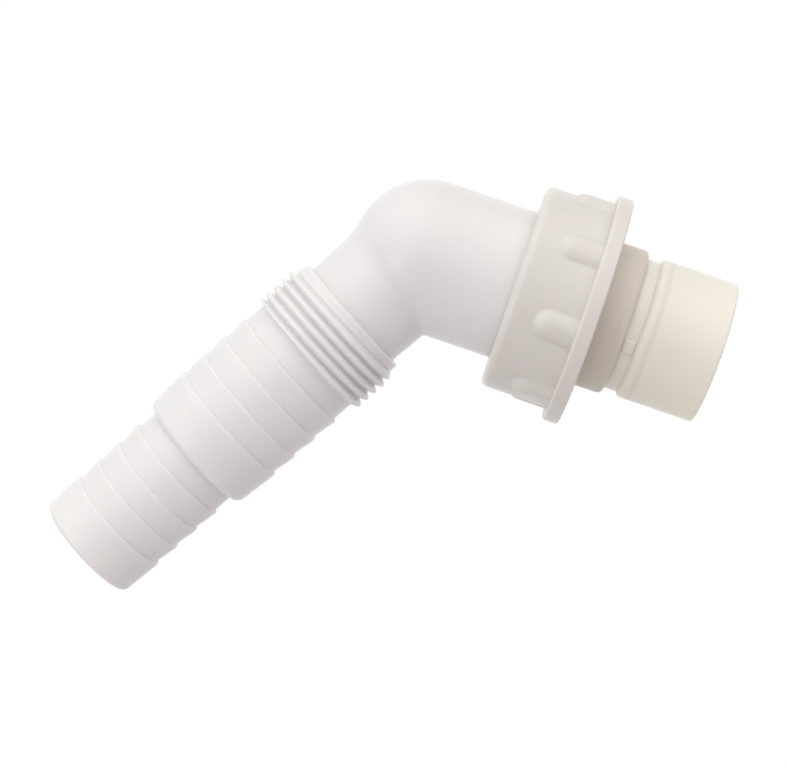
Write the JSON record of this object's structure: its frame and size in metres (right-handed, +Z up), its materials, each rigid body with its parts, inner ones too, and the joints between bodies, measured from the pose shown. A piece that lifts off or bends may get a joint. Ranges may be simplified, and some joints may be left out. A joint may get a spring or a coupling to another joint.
{
  "type": "angled hose tail with non-return valve",
  "caption": "Sixty-degree barbed hose tail elbow with a captive union nut and a plug-in flap valve in a translucent sleeve, for a drain or fill hose on a threaded spigot.",
  "frame": {"origin": "centre of the washer face that seals on the end of the threaded spigot, on the union's axis", "axes": "+X along the union's axis, out of the nut and out of the valve sleeve; +Z up, with the hose tail leaving down and towards -X at sixty degrees to the union's axis; the fitting is symmetric about the XZ plane apart from its threads and grips"},
  "size_m": [0.1028, 0.0416, 0.0946],
  "materials": {
    "white_plastic": "semi-gloss moulded white polypropylene",
    "nut_plastic": "semi-gloss moulded white polypropylene",
    "collar_plastic": "semi-gloss moulded white polypropylene",
    "slip_plastic": "natural polyethylene",
    "natural_plastic": "translucent natural polypropylene",
    "flap_plastic": "moulded white plastic",
    "seal_rubber": "black rubber",
    "pin_steel": "drawn stainless steel"
  },
  "bodies": {
    "fitting": {"hose_tail_elbow": "white_plastic", "valve_collar": "collar_plastic", "cartridge_o_ring": "seal_rubber", "spigot_washer": "seal_rubber", "valve_sleeve": "natural_plastic", "flap_pin": "pin_steel"},
    "nut_carrier": {"slip_ring": "slip_plastic"},
    "nut": {"union_nut": "nut_plastic"},
    "flap": {"flap_disc": "flap_plastic", "flap_seal": "seal_rubber"}
  },
  "joints": [
    {"name": "nut_slide", "type": "slide", "parent": "fitting", "child": "nut_carrier", "axis": [1, 0, 0], "range_m": [-0.0115, 0]},
    {"name": "nut_spin", "type": "hinge", "parent": "nut_carrier", "child": "nut", "pos_m": [-0.00083, 0, 0], "axis": [1, 0, 0], "continuous": true},
    {"name": "flap_swing", "type": "hinge", "parent": "fitting", "child": "flap", "pos_m": [0.01077, 0, 0.00925], "axis": [0, -1, 0], "range_deg": [0, 60]}
  ]
}
